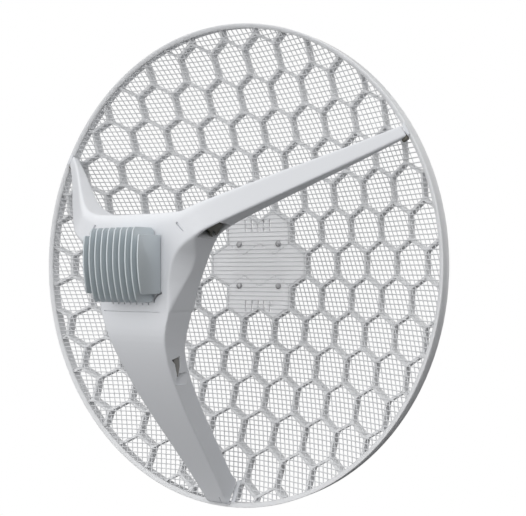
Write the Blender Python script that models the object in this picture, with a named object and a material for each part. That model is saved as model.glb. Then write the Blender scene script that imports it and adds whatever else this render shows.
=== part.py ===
"""Wireless bridge dish antenna: a grid reflector with a tripod arm that holds the radio and feed.

Metres, +Z up. The dish faces -Y. The origin is the centre of the rear mounting disc's flat back.
"""

import math

import bpy
import numpy as np
from mathutils import Vector
from mathutils.geometry import delaunay_2d_cdt

# Reflector
DISH_RADIUS = 0.1955
FOCAL_LENGTH = 0.1614
VERTEX_Y = -0.0334
RIM_BACK = -0.0489
RIM_LIP_INNER = 0.1919
RIM_LIP_FRONT = 0.0014
RIM_WALL = 0.0022
# Honeycomb ribs behind the wire mesh
CELL_PITCH = 0.0322
RIB_THICKNESS = 0.0020
RIB_DEPTH = 0.0080
RIB_REACH = 0.1930
SHORTEST_RIB = 0.0030

# Wire mesh in front of the ribs, with every fourth wire of each of its two sets
WIRE_SPACING = (0.003675, 0.004190)
WIRE_FIRST = (0.00275, 0.00418)
WIRE_TURN = (0.0, 70.08)
WIRE_EVERY = 4
WIRE_WIDTH = 0.0010
WIRE_BACK = 0.00045
WIRE_THICKNESS = 0.0008
WIRE_REACH = 0.1914
WIRE_START = 0.0335

# Centre patch and the rear mount
PATCH_THICKNESS = 0.0020
SCREW_X = 0.0204
SCREW_Z = 0.0180
FLANGE_WIDTH = 0.0540
FLANGE_HEIGHT = 0.0480
FLANGE_THICKNESS = 0.0036
STEM_RADIUS = 0.0150
MOUNT_RADIUS = 0.0200
MOUNT_THICKNESS = 0.0050

# Tripod arm
HUB_FRONT = -0.1638
HUB_BACK = -0.1360
LEG_END = 0.1917
LOWER_CUT = 0.0338
LOWER_STEPS = 36
LEG_CLEARANCE = 0.0020
FOOT_START = 0.1680
FOOT_FLARE = 0.0036
SOCKET_END = 0.1946
EDGE = 0.0009
YOKE_SPACING = 0.0042
SLOPE_STEPS = 5
# Stations down the upper leg: distance from the axis, inset and drop of its edge
YOKE_UPPER_EDGE = ((LEG_END, 0.0009, 0.0009), (0.1500, 0.0012, 0.0012), (0.1100, 0.0020, 0.0016), (0.0800, 0.0034, 0.0024))
YOKE_LOWER_EDGE = ((0.0800, 0.0010, 0.0010), (0.1100, 0.0009, 0.0009), (0.1500, 0.0009, 0.0009), (LEG_END, 0.0009, 0.0009))

# Radio heatsink
SINK_FRONT = -0.1886
SINK_BACK = -0.1641
SINK_HALF_WIDTH = 0.0262
SINK_TOP = 0.0262
SINK_BOTTOM = -0.0268
END_PLATE_HALF_HEIGHT = 0.0208
FIN_THICKNESS = 0.0012
FIN_COUNT = 10
FIN_CROWN_Z = 0.0050
FIN_CROWN_RADIUS = 0.0920

GAP = 0.0003

PLASTIC = ("plastic_white", (0.80, 0.81, 0.82, 1.0), 0.0, 0.45)
METAL = ("cast_aluminium", (0.42, 0.46, 0.48, 1.0), 0.6, 0.45)
STEEL = ("screw_steel", (0.60, 0.60, 0.60, 1.0), 0.9, 0.35)


def clear_scene():
    for obj in list(bpy.data.objects):
        bpy.data.objects.remove(obj, do_unlink=True)


def material(spec):
    name, colour, metallic, roughness = spec
    found = bpy.data.materials.get(name)
    if found:
        return found
    made = bpy.data.materials.new(name)
    made.use_nodes = True
    shader = made.node_tree.nodes["Principled BSDF"]
    shader.inputs["Base Color"].default_value = colour
    shader.inputs["Metallic"].default_value = metallic
    shader.inputs["Roughness"].default_value = roughness
    return made


def add_node(name, points, faces, spec):
    """One named object, its points given from the dish vertex and moved so that the origin is on the mount."""
    mesh = bpy.data.meshes.new(name)
    moved = [(x, y + VERTEX_Y, z) for x, y, z in points]
    mesh.from_pydata(moved, [], faces)
    mesh.validate()
    mesh.materials.append(material(spec))
    obj = bpy.data.objects.new(name, mesh)
    bpy.context.scene.collection.objects.link(obj)
    return obj


def surface(x, z):
    """Depth of the reflecting paraboloid in front of its vertex, as a negative Y."""
    return -(x * x + z * z) / (4 * FOCAL_LENGTH)


def loft(loops):
    """Points and faces of a closed body through loops of equal length, with both ends capped."""
    count = len(loops[0])
    points = [p for loop in loops for p in loop]
    faces = []
    for k in range(len(loops) - 1):
        for i in range(count):
            j = (i + 1) % count
            faces.append((k * count + i, k * count + j, (k + 1) * count + j, (k + 1) * count + i))
    faces.append(tuple(reversed(range(count))))
    last = (len(loops) - 1) * count
    faces.append(tuple(range(last, last + count)))
    return points, faces


def outward(points, faces):
    """The same faces, turned round if they point inward."""
    p = np.array(points)
    volume = 0.0
    for face in faces:
        for i in range(1, len(face) - 1):
            a, b, c = p[face[0]], p[face[i]], p[face[i + 1]]
            volume += float(np.dot(a, np.cross(b, c)))
    return faces if volume > 0 else [tuple(reversed(f)) for f in faces]


def ring(name, profile, segments, spec):
    """A body turned round the dish axis from a closed (radius, y) profile."""
    count = len(profile)
    points = []
    faces = []
    for k in range(segments):
        turn = 2 * math.pi * k / segments
        points += [(r * math.cos(turn), y, r * math.sin(turn)) for r, y in profile]
        for i in range(count):
            j = (i + 1) % count
            n = (k + 1) % segments
            faces.append((k * count + i, k * count + j, n * count + j, n * count + i))
    add_node(name, points, outward(points, faces), spec)


def turned(name, x, z, profile, segments, spec):
    """A solid of revolution about a line along Y through (x, z), with flat ends on the axis."""
    loops = []
    for r, y in profile:
        loop = []
        for k in range(segments):
            turn = 2 * math.pi * (k + 0.5) / segments
            loop.append((x + r * math.cos(turn), y, z + r * math.sin(turn)))
        loops.append(loop)
    points, faces = loft(loops)
    add_node(name, points, outward(points, faces), spec)


def block(name, outline, front, back, spec):
    """A plate of the given (x, z) outline between two Y planes."""
    loops = [[(x, y, z) for x, z in outline] for y in (front, back)]
    points, faces = loft(loops)
    add_node(name, points, outward(points, faces), spec)


# Reflector rim


def build_rim():
    lip_y = surface(RIM_LIP_INNER, 0)
    edge_y = surface(DISH_RADIUS, 0) - RIM_LIP_FRONT
    inside = DISH_RADIUS - RIM_WALL
    profile = [
        (RIM_LIP_INNER, lip_y - RIM_LIP_FRONT + 0.0003),
        (RIM_LIP_INNER + 0.0003, lip_y - RIM_LIP_FRONT - 0.0001),
        (DISH_RADIUS - 0.0004, edge_y + 0.0002),
        (DISH_RADIUS, edge_y + 0.0005),
        (DISH_RADIUS, RIM_BACK),
        (inside, RIM_BACK),
        (inside, surface(inside, 0) - GAP),
        (RIM_LIP_INNER, lip_y - GAP),
    ]
    ring("rim_ring", profile, 144, PLASTIC)


# Honeycomb rib sectors


def lattice():
    """Junction positions and the ribs between them, as index pairs, for cells whose points are up."""
    size = CELL_PITCH / math.sqrt(3)
    reach = int(DISH_RADIUS / CELL_PITCH) + 2
    found = {}
    spots = []
    ribs = set()
    for row in range(-reach, reach + 1):
        for column in range(-reach, reach + 1):
            cx = (column + 0.5 * (row % 2)) * CELL_PITCH
            cz = row * CELL_PITCH * math.sqrt(3) / 2
            if math.hypot(cx, cz) > DISH_RADIUS + CELL_PITCH:
                continue
            corners = []
            for k in range(6):
                turn = math.radians(30 + 60 * k)
                x = cx + size * math.cos(turn)
                z = cz + size * math.sin(turn)
                key = (round(x * 1e5), round(z * 1e5))
                near = [
                    found[(key[0] + i, key[1] + j)]
                    for i in (-1, 0, 1)
                    for j in (-1, 0, 1)
                    if (key[0] + i, key[1] + j) in found
                ]
                if near:
                    corners.append(near[0])
                    continue
                found[key] = len(spots)
                corners.append(len(spots))
                spots.append((x, z))
            for k in range(6):
                ribs.add(tuple(sorted((corners[k], corners[(k + 1) % 6]))))
    return spots, sorted(ribs)


def sector_of(x, z):
    turn = math.degrees(math.atan2(z, x)) - 0.5
    return int((turn % 360) // 60)


def build_sectors():
    spots, ribs = lattice()
    kept = []
    for a, b in ribs:
        (ax, az), (bx, bz) = spots[a], spots[b]
        if math.hypot((ax + bx) / 2, (az + bz) / 2) < CELL_PITCH * 1.25:
            continue
        if min(math.hypot(ax, az), math.hypot(bx, bz)) > RIB_REACH - SHORTEST_RIB:
            continue
        kept.append((a, b))
    around = {}
    for a, b in kept:
        around.setdefault(a, []).append(b)
        around.setdefault(b, []).append(a)
    owner = {}
    for a, others in around.items():
        x, z = spots[a]
        if math.hypot(x, z) > RIB_REACH - 0.0012:
            continue
        votes = [sector_of((x + spots[b][0]) / 2, (z + spots[b][1]) / 2) for b in others]
        owner[a] = max(sorted(set(votes)), key=votes.count)
    for sector in range(6):
        build_sector(sector, spots, kept, owner)


def rib_corners(spot, other):
    """The two points where a rib that leaves a three-way junction starts, left and right of its line."""
    x, z = spot
    dx, dz = other[0] - x, other[1] - z
    length = math.hypot(dx, dz)
    dx, dz = dx / length, dz / length
    along = RIB_THICKNESS / (2 * math.sqrt(3))
    half = RIB_THICKNESS / 2
    left = (x + dx * along - dz * half, z + dz * along + dx * half)
    right = (x + dx * along + dz * half, z + dz * along - dx * half)
    return left, right


def cap_corners(spot, other, distance):
    x, z = spot
    dx, dz = other[0] - x, other[1] - z
    length = math.hypot(dx, dz)
    dx, dz = dx / length, dz / length
    half = RIB_THICKNESS / 2
    left = (x + dx * distance - dz * half, z + dz * distance + dx * half)
    right = (x + dx * distance + dz * half, z + dz * distance - dx * half)
    return left, right


def reach_along(spot, other):
    """How far a rib from spot runs toward other before either side meets the reach circle."""
    length = math.dist(spot, other)
    low, high = 0.0, length
    for _ in range(40):
        middle = (low + high) / 2
        left, right = cap_corners(spot, other, middle)
        if max(math.hypot(*left), math.hypot(*right)) < RIB_REACH:
            low = middle
        else:
            high = middle
    return low


def build_sector(sector, spots, kept, owner):
    points = []
    index = {}
    faces = []

    def point(x, z, back):
        key = (round(x * 1e7), round(z * 1e7), back)
        if key not in index:
            index[key] = len(points)
            depth = RIB_DEPTH if back else 0.0
            points.append((x, surface(x, z) + depth, z))
        return index[key]

    def wall(p, q):
        """A side face from p to q, seen with the solid on the left."""
        faces.append((point(*p, False), point(*p, True), point(*q, True), point(*q, False)))

    stop = RIB_THICKNESS / (2 * math.sqrt(3)) + GAP
    ends = {}
    for a, b in kept:
        (ax, az), (bx, bz) = spots[a], spots[b]
        if sector_of((ax + bx) / 2, (az + bz) / 2) != sector:
            continue
        starts = []
        for here, there in ((a, b), (b, a)):
            if owner.get(here) == sector:
                starts.append((rib_corners(spots[here], spots[there]), True))
            elif here in owner:
                starts.append((cap_corners(spots[here], spots[there], stop), False))
            else:
                run = reach_along(spots[there], spots[here])
                if run < SHORTEST_RIB:
                    starts = None
                    break
                left, right = cap_corners(spots[there], spots[here], run)
                starts.append(((right, left), False))
        if starts is None:
            continue
        ((l1, r1), joined1), ((l2, r2), joined2) = starts
        # left of one end faces right of the other
        front = [point(*r1, False), point(*l2, False), point(*r2, False), point(*l1, False)]
        back = [point(*r1, True), point(*l2, True), point(*r2, True), point(*l1, True)]
        faces.append(tuple(front))
        faces.append(tuple(reversed(back)))
        wall(r1, l2)
        wall(r2, l1)
        if not joined1:
            wall(l1, r1)
        if not joined2:
            wall(l2, r2)
        if joined1:
            ends.setdefault(a, set()).add(b)
        if joined2:
            ends.setdefault(b, set()).add(a)
    near = {}
    for a, b in kept:
        near.setdefault(a, set()).add(b)
        near.setdefault(b, set()).add(a)
    for a, joined in ends.items():
        x, z = spots[a]
        one = spots[sorted(joined)[0]]
        base = math.atan2(one[1] - z, one[0] - x)
        far = RIB_THICKNESS / math.sqrt(3)
        corners = []
        for k in range(3):
            turn = base + math.radians(60 + 120 * k)
            corners.append((x + far * math.cos(turn), z + far * math.sin(turn)))
        faces.append(tuple(point(*c, False) for c in corners))
        faces.append(tuple(point(*c, True) for c in reversed(corners)))
        taken = set()
        for b in joined:
            turn = math.atan2(spots[b][1] - z, spots[b][0] - x) - base
            taken.add(round(math.degrees(turn) / 120) % 3)
        for k in range(3):
            if k not in taken:
                # the side that faces rib direction k lies between corners k-1 and k
                wall(corners[(k - 1) % 3], corners[k])
    add_node(f"grid_sector_{sector + 1}", points, outward(points, faces), PLASTIC)


# Wire mesh: level and slanted bars fused where they cross, in the same six sectors as the ribs


def wire_normal(group):
    turn = math.radians(WIRE_TURN[group])
    return math.sin(turn), math.cos(turn)


def wire_offset(group, number):
    return WIRE_FIRST[group] + WIRE_SPACING[group] * WIRE_EVERY * number


def meeting(levels, values):
    """The point at the given distances from the middle, along the normals of the two wire sets."""
    (a, b), (c, d) = levels
    p, q = values
    size = a * d - b * c
    return (p * d - b * q) / size, (a * q - p * c) / size


def inside_sector(x, z, sector, margin):
    """Whether a point is in a sector's part of the ring that the mesh covers."""
    reach = math.hypot(x, z)
    if not WIRE_START + margin < reach < WIRE_REACH - margin:
        return False
    for turn, way in ((60 * sector + 0.5, 1), (60 * sector + 60.5, -1)):
        turn = math.radians(turn)
        if way * (z * math.cos(turn) - x * math.sin(turn)) < margin + GAP / 2:
            return False
    return True


def build_wire_sector(sector):
    normals = (wire_normal(0), wire_normal(1))
    half = WIRE_WIDTH / 2
    most = int(DISH_RADIUS / (WIRE_SPACING[0] * WIRE_EVERY)) + 1
    crossings = set()
    for i in range(-most, most + 1):
        for j in range(-most, most + 1):
            x, z = meeting(normals, (wire_offset(0, i), wire_offset(1, j)))
            if inside_sector(x, z, sector, 0.0016):
                crossings.add((i, j))
    crossings = largest_group(crossings, sector, normals)
    points = []
    index = {}
    faces = []

    def point(spot, back):
        key = (round(spot[0] * 1e7), round(spot[1] * 1e7), back)
        if key not in index:
            index[key] = len(points)
            depth = -WIRE_BACK if back else -WIRE_BACK - WIRE_THICKNESS
            points.append((spot[0], surface(*spot) + depth, spot[1]))
        return index[key]

    def bar(corners, walls):
        """Front and back of a four-cornered piece, with side faces on the listed edges."""
        faces.append(tuple(point(c, False) for c in corners))
        faces.append(tuple(point(c, True) for c in reversed(corners)))
        for k in walls:
            p, q = corners[k], corners[(k + 1) % 4]
            faces.append((point(q, False), point(p, False), point(p, True), point(q, True)))

    def corner(i, j, one, two):
        return meeting(normals, (wire_offset(0, i) + one * half, wire_offset(1, j) + two * half))

    for i, j in sorted(crossings):
        square = [corner(i, j, -1, -1), corner(i, j, 1, -1), corner(i, j, 1, 1), corner(i, j, -1, 1)]
        # which edge of the crossing each neighbour leaves from
        bare = []
        for edge, (di, dj) in enumerate(((0, -1), (1, 0), (0, 1), (-1, 0))):
            near, far = square[edge], square[(edge + 1) % 4]
            if (i + di, j + dj) in crossings and joined_by_wire((i, j), (i + di, j + dj), sector, normals):
                if di + dj > 0:
                    other_near = corner(i + di, j + dj, 1 if dj else -1, -1)
                    other_far = corner(i + di, j + dj, -1, -1 if dj else 1)
                    bar([near, other_near, other_far, far], (0, 2))
                continue
            run = stub_length(near, far, (di, dj), sector, normals)
            if run > 0.0008:
                step = heading(di, dj, normals)
                ahead = [(x + step[0] * run, z + step[1] * run) for x, z in (near, far)]
                bar([near, ahead[0], ahead[1], far], (0, 1, 2))
            else:
                bare.append(edge)
        bar(square, bare)
    add_node(f"wire_sector_{sector + 1}", points, outward(points, faces), PLASTIC)


def heading(di, dj, normals):
    """Unit step along a wire towards the neighbour at (di, dj)."""
    x, z = meeting(normals, (di, dj))
    length = math.hypot(x, z)
    return x / length, z / length


def stub_length(near, far, way, sector, normals):
    """How far a wire's open end runs before either of its sides leaves the sector."""
    step = heading(*way, normals)
    run = 0.0
    while run < 0.016:
        ends = [(x + step[0] * (run + 0.0002), z + step[1] * (run + 0.0002)) for x, z in (near, far)]
        if not all(inside_sector(x, z, sector, 0.0) for x, z in ends):
            break
        run += 0.0002
    return run


def joined_by_wire(one, other, sector, normals):
    """Whether the wire between two neighbouring crossings stays in the sector."""
    a = meeting(normals, (wire_offset(0, one[0]), wire_offset(1, one[1])))
    b = meeting(normals, (wire_offset(0, other[0]), wire_offset(1, other[1])))
    for k in range(1, 10):
        x = a[0] + (b[0] - a[0]) * k / 10
        z = a[1] + (b[1] - a[1]) * k / 10
        if not inside_sector(x, z, sector, 0.0008):
            return False
    return True


def largest_group(crossings, sector, normals):
    """The crossings that hang together, so that the sector is one body."""
    best = set()
    left = set(crossings)
    while left:
        group = set()
        front = [min(left)]
        while front:
            here = front.pop()
            if here in group:
                continue
            group.add(here)
            for di, dj in ((0, -1), (1, 0), (0, 1), (-1, 0)):
                other = (here[0] + di, here[1] + dj)
                if other in crossings and other not in group and joined_by_wire(here, other, sector, normals):
                    front.append(other)
        left -= group
        if len(group) > len(best):
            best = group
    return best


# Centre patch, its screws and the rear mount


def patch_outline(inset):
    """Outline of the seven middle cells, moved inward by inset."""
    size = CELL_PITCH / math.sqrt(3)
    centres = [(0.0, 0.0)]
    for k in range(6):
        turn = math.radians(60 * k)
        centres.append((CELL_PITCH * math.cos(turn), CELL_PITCH * math.sin(turn)))
    corners = {}
    for cx, cz in centres:
        for k in range(6):
            turn = math.radians(30 + 60 * k)
            x = cx + size * math.cos(turn)
            z = cz + size * math.sin(turn)
            key = (round(x, 5) + 0.0, round(z, 5) + 0.0)
            corners[key] = corners.get(key, 0) + 1
    outline = sorted((c for c, shared in corners.items() if shared < 3), key=lambda c: math.atan2(c[1], c[0]))
    moved = []
    count = len(outline)
    for i in range(count):
        a, b, c = outline[i - 1], outline[i], outline[(i + 1) % count]
        n1 = normal_of(a, b)
        n2 = normal_of(b, c)
        scale = inset / (1 + n1[0] * n2[0] + n1[1] * n2[1])
        moved.append((b[0] - (n1[0] + n2[0]) * scale, b[1] - (n1[1] + n2[1]) * scale))
    return moved


def normal_of(a, b):
    """Outward normal of an anticlockwise edge."""
    dx, dz = b[0] - a[0], b[1] - a[1]
    length = math.hypot(dx, dz)
    return dz / length, -dx / length


def build_patch():
    outline = patch_outline(RIB_THICKNESS / 2 + GAP)
    rings = [1.0, 0.66, 0.33]
    loops_front = [[(x * s, surface(x * s, z * s), z * s) for x, z in outline] for s in rings]
    loops_back = [[(x, y + PATCH_THICKNESS, z) for x, y, z in loop] for loop in loops_front]
    points, faces = loft(list(reversed(loops_front)) + loops_back)
    add_node("centre_patch", points, outward(points, faces), PLASTIC)


def build_mount():
    screws = [(SCREW_X * sx, SCREW_Z * sz) for sz in (1, -1) for sx in (-1, 1)]
    for number, (x, z) in enumerate(screws, 1):
        front = surface(x, z)
        head = [(0.0018, front - 0.0016), (0.0026, front - 0.0013), (0.0026, front - 2 * GAP)]
        turned(f"patch_screw_{number}", x, z, head, 16, STEEL)
    back = PATCH_THICKNESS + GAP
    half_w, half_h, cut = FLANGE_WIDTH / 2, FLANGE_HEIGHT / 2, 0.006
    flange = [
        (-half_w + cut, -half_h),
        (half_w - cut, -half_h),
        (half_w, -half_h + cut),
        (half_w, half_h - cut),
        (half_w - cut, half_h),
        (-half_w + cut, half_h),
        (-half_w, half_h - cut),
        (-half_w, -half_h + cut),
    ]
    block("rear_flange", flange, back, back + FLANGE_THICKNESS, PLASTIC)
    plate_front = -VERTEX_Y - MOUNT_THICKNESS
    start = back + FLANGE_THICKNESS + GAP
    stem = [(STEM_RADIUS + 0.004, start), (STEM_RADIUS, start + 0.004), (STEM_RADIUS - 0.001, plate_front - GAP)]
    turned("rear_stem", 0, 0, stem, 32, PLASTIC)
    disc = [
        (MOUNT_RADIUS - 0.0008, plate_front),
        (MOUNT_RADIUS, plate_front + 0.0008),
        (MOUNT_RADIUS, -VERTEX_Y),
    ]
    turned("rear_mount_disc", 0, 0, disc, 48, PLASTIC)
    for number, (x, z) in enumerate(screws, 1):
        nut = [(0.0036, start), (0.0036, start + 0.0030)]
        turned(f"flange_nut_{number}", x, z, nut, 6, STEEL)


# Tripod arm


def smooth_max(a, b, soft):
    return 0.5 * (a + b + math.sqrt((a - b) ** 2 + soft * soft))


def upper_front(s):
    t = (s - 0.189) / 0.1
    return smooth_max(-0.0625 + 0.0716 * t - 0.0180 * t * t - 0.0088 * t**3, HUB_FRONT, 0.004)


def upper_back(s):
    depth = 0.0062 - 0.119 * (s - 0.189)
    return smooth_max(upper_front(s) + depth, HUB_BACK, 0.004)


def upper_half_width(s):
    return 0.0047 - 0.047 * (s - 0.189)


def lower_front(s):
    t = (max(s, 0.020) - 0.189) / 0.1
    return smooth_max(-0.0658 + 0.0681 * t - 0.0259 * t * t - 0.0176 * t**3, HUB_FRONT, 0.003)


def lower_back(s):
    flare = min(1.0, max(0.0, (s - FOOT_START) / 0.0070))
    depth = 0.0215 + FOOT_FLARE * flare * flare * (3 - 2 * flare)
    return smooth_max(lower_front(s) + depth, HUB_BACK, 0.003)


LOWER_WIDTHS = (
    (0.0338, 0.0328),
    (0.0420, 0.0302),
    (0.0500, 0.0279),
    (0.0600, 0.0255),
    (0.0750, 0.0229),
    (0.0900, 0.0210),
    (0.1140, 0.0183),
    (0.1390, 0.0156),
    (0.1640, 0.0129),
    (0.1890, 0.0102),
)


def lower_half_width(s):
    return float(np.interp(s, [a for a, _ in LOWER_WIDTHS], [b for _, b in LOWER_WIDTHS]))


def leg_section(half, front, back):
    """Section of a leg as (across, y) points, with its long edges rounded."""
    corner = []
    for k in range(4):
        turn = math.radians(30 * k)
        corner.append((EDGE * (1 - math.sin(turn)), EDGE * (1 - math.cos(turn))))
    section = [(-half + across, back - rise) for across, rise in corner]
    section += [(-half + across, front + rise) for across, rise in reversed(corner)]
    section += [(half - across, front + rise) for across, rise in corner]
    section += [(half - across, back - rise) for across, rise in reversed(corner)]
    return section


def build_lower_leg():
    loops = []
    for k in range(LOWER_STEPS + 1):
        s = LOWER_CUT + (LEG_END - LOWER_CUT) * k / LOWER_STEPS
        back = min(lower_back(s), surface(s, 0) - LEG_CLEARANCE)
        section = leg_section(lower_half_width(s), lower_front(s), back)
        loops.append([(across, y, -s) for across, y in section])
    points, faces = loft(loops)
    add_node("arm_leg_lower", points, outward(points, faces), PLASTIC)


def build_socket(name, angle, half, front):
    """The foot on the rim's lip that the end of a leg snaps into."""
    turn = math.radians(angle)
    ux, uz = math.cos(turn), math.sin(turn)
    start = LEG_END + GAP
    stations = [start, start + 0.0004, (start + SOCKET_END) / 2, SOCKET_END]
    end_front = surface(SOCKET_END, 0) - RIM_LIP_FRONT - 0.0009
    loops = []
    for s in stations:
        back = surface(s, 0) - RIM_LIP_FRONT - GAP
        part = (s - start) / (SOCKET_END - start)
        ahead = min(front + (end_front - front) * part, back - 0.0006)
        section = [
            (-half, back),
            (-half, ahead + 0.0004),
            (-half + 0.0004, ahead),
            (half - 0.0004, ahead),
            (half, ahead + 0.0004),
            (half, back),
        ]
        loops.append([(ux * s - uz * a, y, uz * s + ux * a) for a, y in section])
    points, faces = loft(loops)
    add_node(name, points, outward(points, faces), PLASTIC)


# The yoke is the hub with both upper legs. Right half of its outline: x, z, how far in its flat front starts,
# how deep its side starts behind that front, and how flat the slope between them is (0 round, 1 flat)
TOP_EDGE = (
    (0.0000, 0.0368, 0.0078, 0.0050, 0.2),
    (0.0130, 0.0368, 0.0078, 0.0050, 0.2),
    (0.0250, 0.0369, 0.0076, 0.0050, 0.2),
    (0.0350, 0.0374, 0.0070, 0.0048, 0.2),
    (0.0440, 0.0389, 0.0060, 0.0042, 0.2),
)
SIDE_FILLET = (
    (0.0596, 0.0222, 0.0012, 0.0012, 0.0),
    (0.0556, 0.0186, 0.0020, 0.0022, 0.3),
    (0.0520, 0.0132, 0.0050, 0.0062, 0.8),
    (0.0482, 0.0056, 0.0090, 0.0116, 0.9),
    (0.0446, -0.0022, 0.0100, 0.0130, 0.9),
    (0.0416, -0.0090, 0.0088, 0.0114, 0.9),
    (0.0392, -0.0148, 0.0072, 0.0092, 0.9),
    (0.0360, -0.0240, 0.0042, 0.0050, 0.7),
)


def leg_edge(side, stations):
    """Points down one edge of the right upper leg: side 1 is its upper edge, -1 its lower one."""
    turn = math.radians(30)
    ux, uz = math.cos(turn), math.sin(turn)
    points = []
    for s, inset, drop in stations:
        half = upper_half_width(s) * side
        points.append((ux * s - uz * half, uz * s + ux * half, inset, drop, 0.2))
    return points


def through(rows, spacing):
    """Rows read at even spacing from a smooth curve through the given rows, by their x and z."""
    p = np.array(rows, float)
    p = np.vstack([2 * p[0] - p[1], p, 2 * p[-1] - p[-2]])
    dense = []
    for i in range(1, len(p) - 2):
        for t in np.linspace(0, 1, 24, endpoint=False):
            a, b, c, d = p[i - 1], p[i], p[i + 1], p[i + 2]
            dense.append(0.5 * (2 * b + (c - a) * t + (2 * a - 5 * b + 4 * c - d) * t**2 + (3 * b - a - 3 * c + d) * t**3))
    dense.append(p[-2])
    dense = np.array(dense)
    run = np.concatenate([[0], np.cumsum(np.hypot(*np.diff(dense[:, :2], axis=0).T))])
    steps = max(2, round(run[-1] / spacing))
    at = np.linspace(0, run[-1], steps + 1)
    return np.array([np.interp(at, run, dense[:, k]) for k in range(dense.shape[1])]).T.tolist()


def yoke_outline():
    """The outline anticlockwise from the right end of the lower cut, with each point's inset, drop and flatness."""
    foot = LOWER_CUT - GAP
    corner = (lower_half_width(foot) + 0.0001, -foot, 0.0016, 0.0020, 0.0)
    lower = through([corner] + list(reversed(SIDE_FILLET)) + leg_edge(-1, YOKE_LOWER_EDGE), YOKE_SPACING)
    top_half = leg_edge(1, YOKE_UPPER_EDGE) + list(reversed(TOP_EDGE))
    top = through(top_half + [(-x, z, i, d, w) for x, z, i, d, w in reversed(top_half[:-1])], YOKE_SPACING)
    lower_left = [(-x, z, i, d, w) for x, z, i, d, w in reversed(lower)]
    steps = round(2 * corner[0] / YOKE_SPACING)
    bottom = [(-corner[0] + 2 * corner[0] * k / steps,) + corner[1:] for k in range(1, steps)]
    bottom = [(x, z, EDGE, EDGE, 0.0) for x, z, _, _, _ in bottom]
    return lower + top + lower_left + bottom


def yoke_front(x, z):
    """Front of the yoke at a point: each leg takes over where it drops behind the hub's flat."""
    turn = math.radians(30)
    right = upper_front(abs(x) * math.cos(turn) + z * math.sin(turn))
    down = lower_front(-z)
    return max(right, down, HUB_FRONT)


def yoke_back(x, z):
    turn = math.radians(30)
    s = abs(x) * math.cos(turn) + z * math.sin(turn)
    back = max(upper_back(s), lower_back(-z), HUB_BACK)
    return min(back, surface(x, z) - LEG_CLEARANCE)


def inset_loop(outline, distances):
    moved = []
    count = len(outline)
    for i in range(count):
        a, b, c = outline[i - 1], outline[i], outline[(i + 1) % count]
        n1 = normal_of(a, b)
        n2 = normal_of(b, c)
        scale = distances[i] / (1 + n1[0] * n2[0] + n1[1] * n2[1])
        moved.append((b[0] - (n1[0] + n2[0]) * scale, b[1] - (n1[1] + n2[1]) * scale))
    return moved


def fill(loop, spacing):
    """Triangles inside a closed loop, as (points, triangles) with the loop's own points first."""
    xs = [p[0] for p in loop]
    zs = [p[1] for p in loop]
    points = [Vector(p) for p in loop]
    edges = [(i, (i + 1) % len(loop)) for i in range(len(loop))]
    x = min(xs) + spacing / 2
    while x < max(xs):
        z = min(zs) + spacing / 2
        while z < max(zs):
            if clear_inside((x, z), loop, spacing * 0.45):
                points.append(Vector((x, z)))
            z += spacing
        x += spacing
    found = delaunay_2d_cdt(points, edges, [], 1, 1e-7)
    order = {}
    for new, old in enumerate(found[3]):
        for k in old:
            order[new] = k
    triangles = [tuple(order[v] for v in face) for face in found[2]]
    return [(p.x, p.y) for p in points], triangles


def clear_inside(spot, loop, margin):
    inside = False
    x, z = spot
    for i in range(len(loop)):
        (ax, az), (bx, bz) = loop[i - 1], loop[i]
        if (az > z) != (bz > z) and x < ax + (z - az) / (bz - az) * (bx - ax):
            inside = not inside
        length = (bx - ax) ** 2 + (bz - az) ** 2
        t = min(1.0, max(0.0, ((x - ax) * (bx - ax) + (z - az) * (bz - az)) / length))
        if math.hypot(x - ax - t * (bx - ax), z - az - t * (bz - az)) < margin:
            return False
    return inside


def build_yoke():
    rows = yoke_outline()
    outline = [(x, z) for x, z, _, _, _ in rows]
    count = len(outline)
    rear = inset_loop(outline, [EDGE] * count)
    loops = [
        [(x, yoke_back(x, z), z) for x, z in rear],
        [(x, yoke_back(x, z) - EDGE, z) for x, z in outline],
    ]
    for k in range(SLOPE_STEPS + 1):
        turn = math.radians(90 * k / SLOPE_STEPS)
        part = k / SLOPE_STEPS
        insets = []
        drops = []
        for _, _, inset, drop, flat in rows:
            insets.append(inset * (part * flat + (1 - math.cos(turn)) * (1 - flat)))
            drops.append(drop * ((1 - part) * flat + (1 - math.sin(turn)) * (1 - flat)))
        moved = inset_loop(outline, insets)
        loops.append([(x, yoke_front(x, z) + drop, z) for (x, z), drop in zip(moved, drops)])
    points = [p for loop in loops for p in loop]
    faces = []
    for k in range(len(loops) - 1):
        for i in range(count):
            j = (i + 1) % count
            faces.append((k * count + i, k * count + j, (k + 1) * count + j, (k + 1) * count + i))
    last = (len(loops) - 1) * count
    for loop, start, depth, turned_round in ((moved, last, yoke_front, False), (rear, 0, yoke_back, True)):
        spots, triangles = fill(loop, YOKE_SPACING)
        extra = len(points)
        points += [(x, depth(x, z), z) for x, z in spots[count:]]
        for triangle in triangles:
            face = tuple(start + v if v < count else extra + v - count for v in triangle)
            faces.append(tuple(reversed(face)) if turned_round else face)
    add_node("arm_yoke", points, outward(points, faces), PLASTIC)


def build_arm():
    build_yoke()
    build_lower_leg()
    for name, angle in (("right", 30), ("left", 150)):
        build_socket(f"rim_socket_{name}", angle, upper_half_width(LEG_END) + 0.0004, upper_front(LEG_END) + GAP)
    build_socket("rim_socket_lower", 270, lower_half_width(LEG_END) + 0.0006, lower_front(LEG_END) + GAP)


# Feed behind the hub, facing the dish


def build_feed():
    housing_front = yoke_back(0, 0) + 0.0012
    body_back = housing_front + 0.0060
    body = [(0.0175, housing_front), (0.0185, housing_front + 0.0008), (0.0185, body_back)]
    turned("feed_body", 0, 0, body, 32, PLASTIC)
    start = body_back + GAP
    cap = [(0.0160, start), (0.0160, start + 0.0110), (0.0145, start + 0.0150), (0.0100, start + 0.0175)]
    turned("feed_radome", 0, 0, cap, 32, PLASTIC)


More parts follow.
